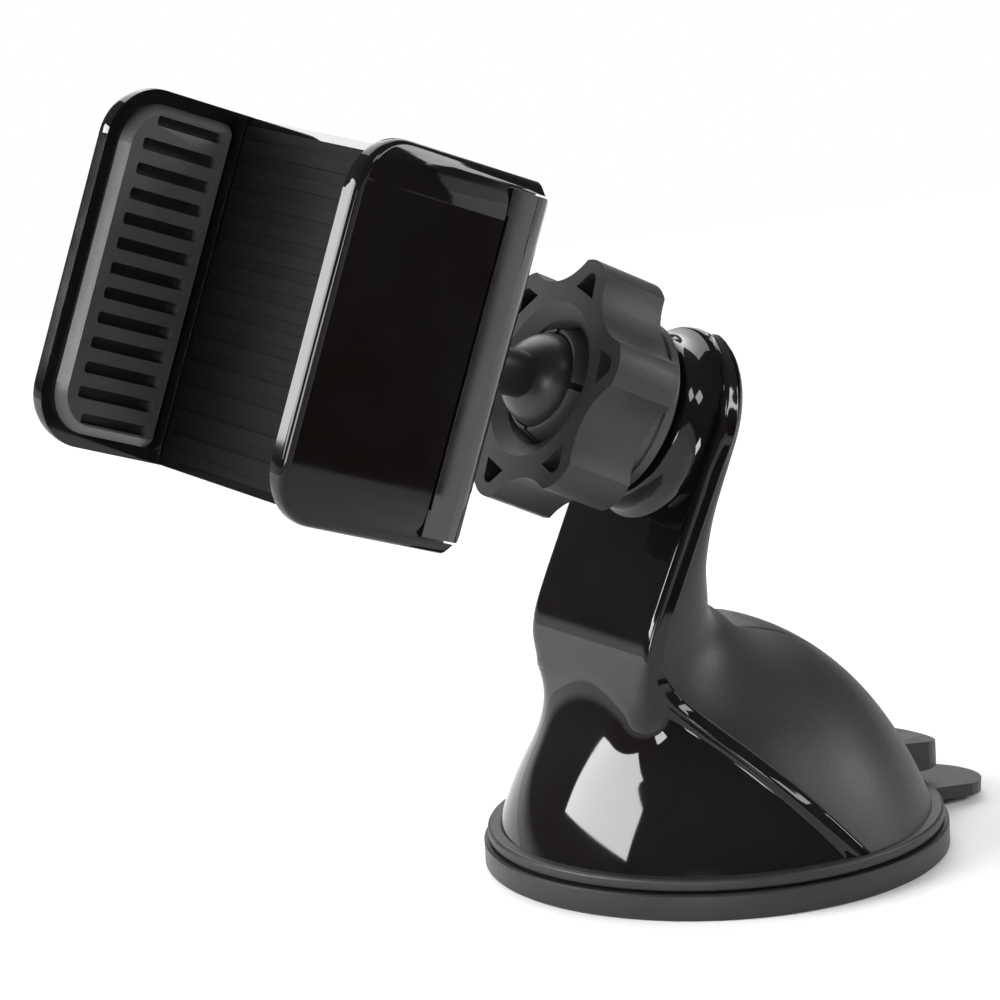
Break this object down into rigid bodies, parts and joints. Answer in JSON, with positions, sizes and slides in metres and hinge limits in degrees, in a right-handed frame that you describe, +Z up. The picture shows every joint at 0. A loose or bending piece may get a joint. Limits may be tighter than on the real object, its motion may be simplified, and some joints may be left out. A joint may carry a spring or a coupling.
{
  "type": "car phone mount",
  "caption": "Suction-base car phone mount with a leaning arm, ball head with a lobed clamp nut, and a sprung two-jaw cradle.",
  "frame": {"origin": "on the dashboard under the middle of the suction cup", "axes": "+Z up off the dashboard; -Y towards the phone side, +Y towards the lever and pull tab; +X to the right seen from the phone side's front"},
  "size_m": [0.0931, 0.179, 0.147],
  "materials": {
    "gloss_black": "polished piano-black moulding",
    "matte_black": "fine spark-eroded grain",
    "nut_black": "grained glass-filled plastic",
    "inner_plastic": "plain moulded",
    "cup_rubber": "semi-matte soft polyurethane",
    "grip_rubber": "soft-touch ribbed rubber",
    "steel": "plated",
    "spring_steel": "drawn wire"
  },
  "bodies": {
    "base": {"suction_cup": "cup_rubber", "base_ring": "matte_black", "base_frame": "inner_plastic", "front_shell": "gloss_black", "rear_shell": "matte_black", "base_screws": "steel", "lever_pins": "steel", "release_spring": "spring_steel", "socket": "inner_plastic", "socket_screw": "steel", "socket_washer": "steel"},
    "nut": {"clamp_nut": "nut_black"},
    "seat": {"ball_liner": "inner_plastic"},
    "stud": {"ball_stud": "inner_plastic", "stem_screw": "steel", "stem_washer": "steel"},
    "cradle": {"cradle_housing": "gloss_black", "front_plate": "gloss_black", "plate_pad": "grip_rubber", "left_jaw": "gloss_black", "left_pad": "grip_rubber", "guide_rods": "steel", "jaw_springs": "spring_steel", "cradle_screws": "steel"},
    "jaw": {"right_jaw": "gloss_black", "right_pad": "grip_rubber"},
    "lever": {"lever": "matte_black", "cam_pin": "steel"},
    "puller": {"pull_stud": "inner_plastic"}
  },
  "joints": [
    {"name": "nut_turn", "type": "hinge", "parent": "base", "child": "nut", "pos_m": [0, -0.0301, 0.0906], "axis": [0, -0.8988, 0.4384], "range_deg": [0, 270]},
    {"name": "ball_swivel", "type": "hinge", "parent": "base", "child": "seat", "pos_m": [0, -0.0301, 0.0906], "axis": [0, -0.8988, 0.4384], "continuous": true},
    {"name": "ball_tilt", "type": "hinge", "parent": "seat", "child": "stud", "pos_m": [0, -0.0301, 0.0906], "axis": [0.4514, 0.3912, 0.802], "range_deg": [-40, 12]},
    {"name": "cradle_spin", "type": "hinge", "parent": "stud", "child": "cradle", "pos_m": [0, -0.0301, 0.0906], "axis": [0.2112, -0.9201, 0.3299], "continuous": true},
    {"name": "jaw_slide", "type": "slide", "parent": "cradle", "child": "jaw", "axis": [0.9767, 0.1853, -0.1087], "range_m": [0, 0.027], "stiffness_N_per_m": 120, "springref_m": -0.02, "deforming": ["jaw_springs"]},
    {"name": "lever_lift", "type": "hinge", "parent": "base", "child": "lever", "pos_m": [0, 0.004, 0.0362], "axis": [1, 0, 0], "range_deg": [0, 42]},
    {"name": "stud_slide", "type": "slide", "parent": "base", "child": "puller", "axis": [0, 0, 1], "range_m": [-0.00305, 0], "deforming": ["suction_cup", "release_spring"]}
  ],
  "couplings": [
    {"joint": "stud_slide", "follows": "lever_lift", "m_per_rad": -0.0041066}
  ]
}
